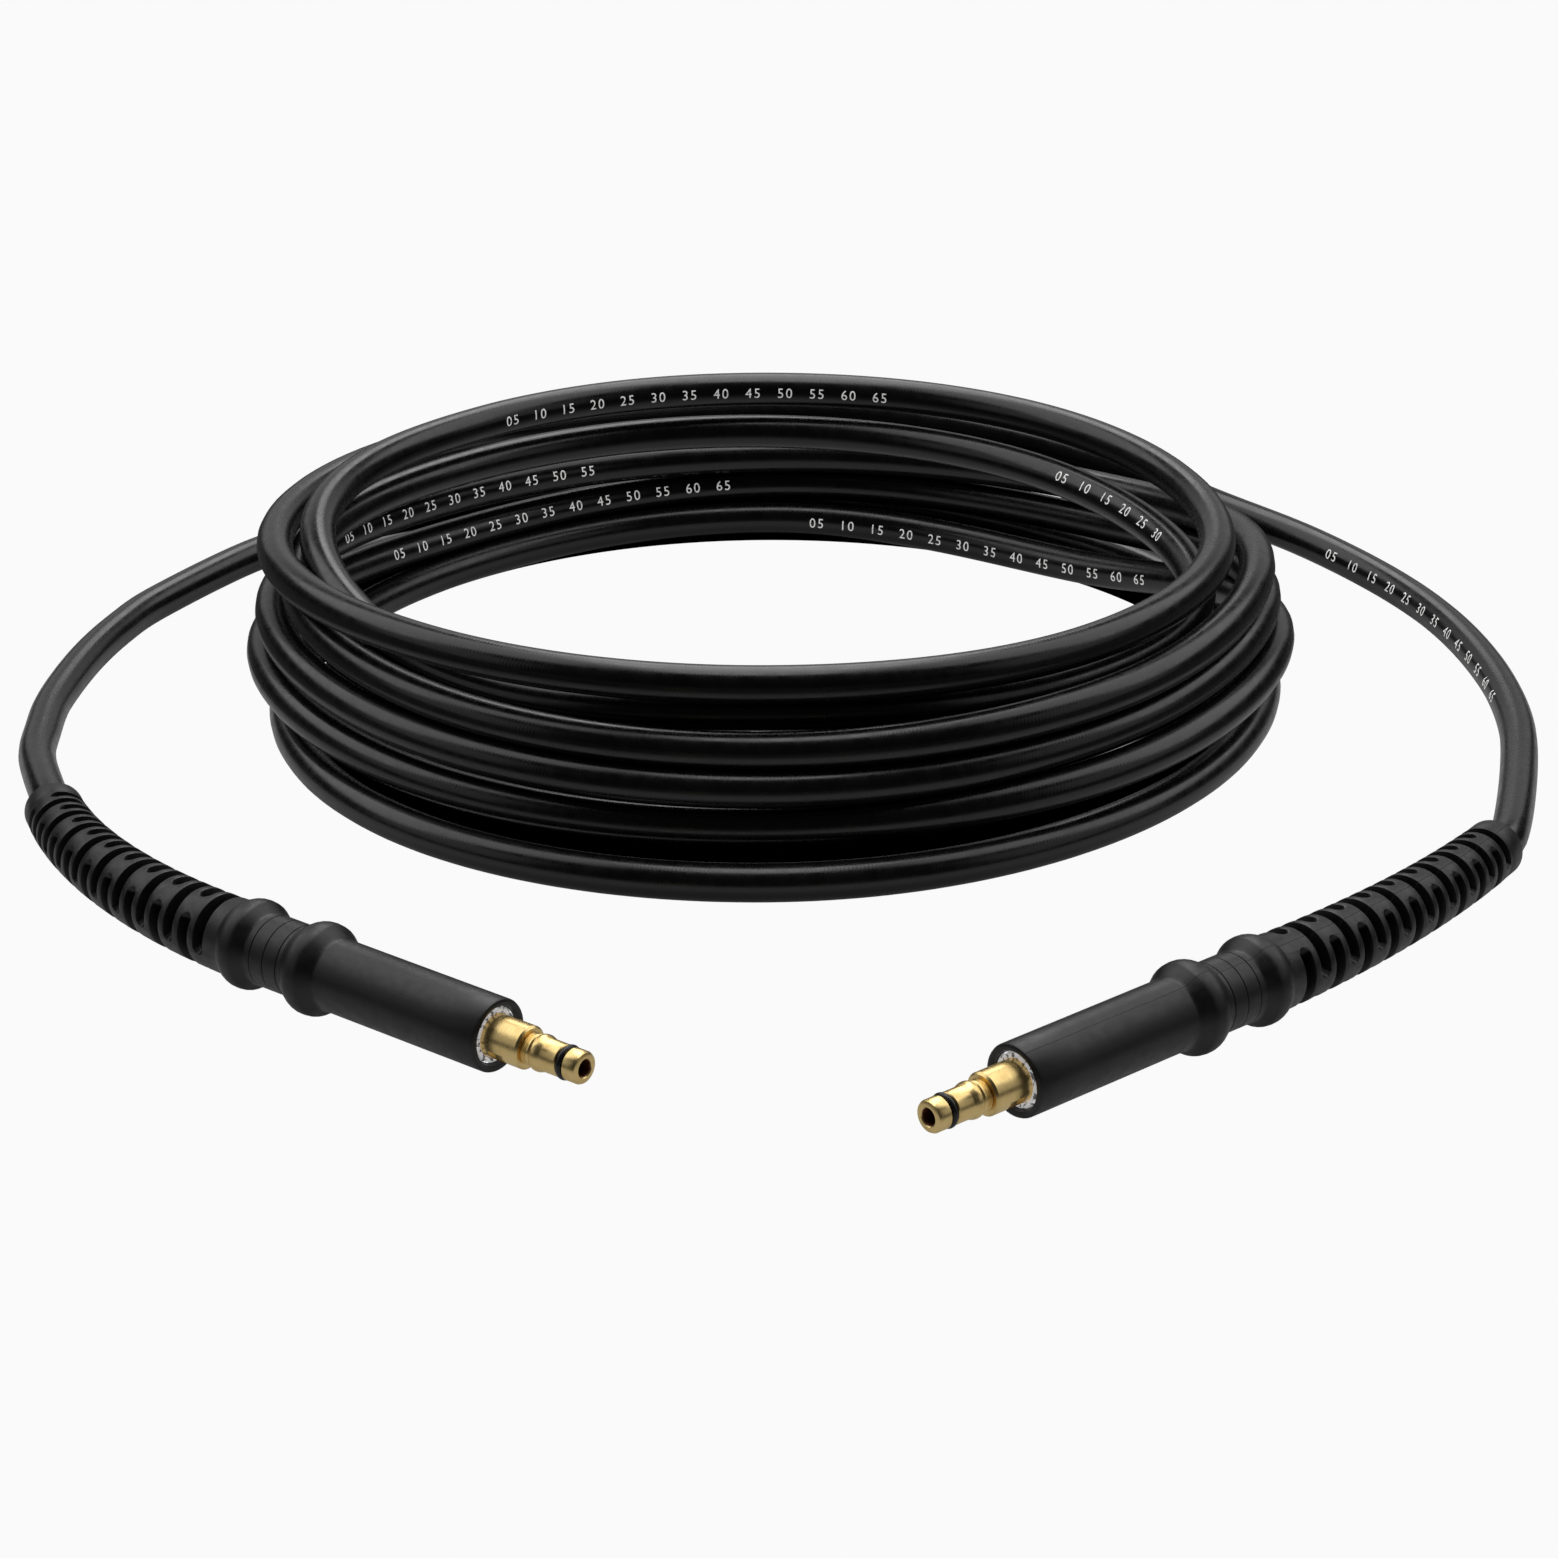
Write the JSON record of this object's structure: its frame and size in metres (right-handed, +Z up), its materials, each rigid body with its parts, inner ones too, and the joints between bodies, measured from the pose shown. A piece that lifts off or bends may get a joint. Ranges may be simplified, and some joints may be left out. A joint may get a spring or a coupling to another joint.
{
  "type": "pressure washer hose",
  "caption": "Black rubber high-pressure hose in a loose round coil, both ends brought forward, each with a moulded grip, bend protector and brass plug nipple.",
  "frame": {"origin": "on the floor, midway between the two end fittings in plan; the coil lies behind it", "axes": "+Z up, +X to the right as pictured, -Y towards the nipples' ends and the viewer"},
  "size_m": [0.4327, 0.4663, 0.0605],
  "materials": {
    "hose_rubber": "semi-gloss",
    "grip_moulding": "satin",
    "ferrule_steel": "bright zinc",
    "nipple_brass": "turned, semi-bright",
    "o_ring_rubber": "matte"
  },
  "bodies": {
    "root": {"hose_coil": "hose_rubber", "left_tail": "hose_rubber", "right_tail": "hose_rubber", "left_grip": "grip_moulding", "right_grip": "grip_moulding", "left_ferrule": "ferrule_steel", "right_ferrule": "ferrule_steel", "left_nipple": "nipple_brass", "right_nipple": "nipple_brass", "left_o_ring": "o_ring_rubber", "right_o_ring": "o_ring_rubber"}
  },
  "joints": []
}
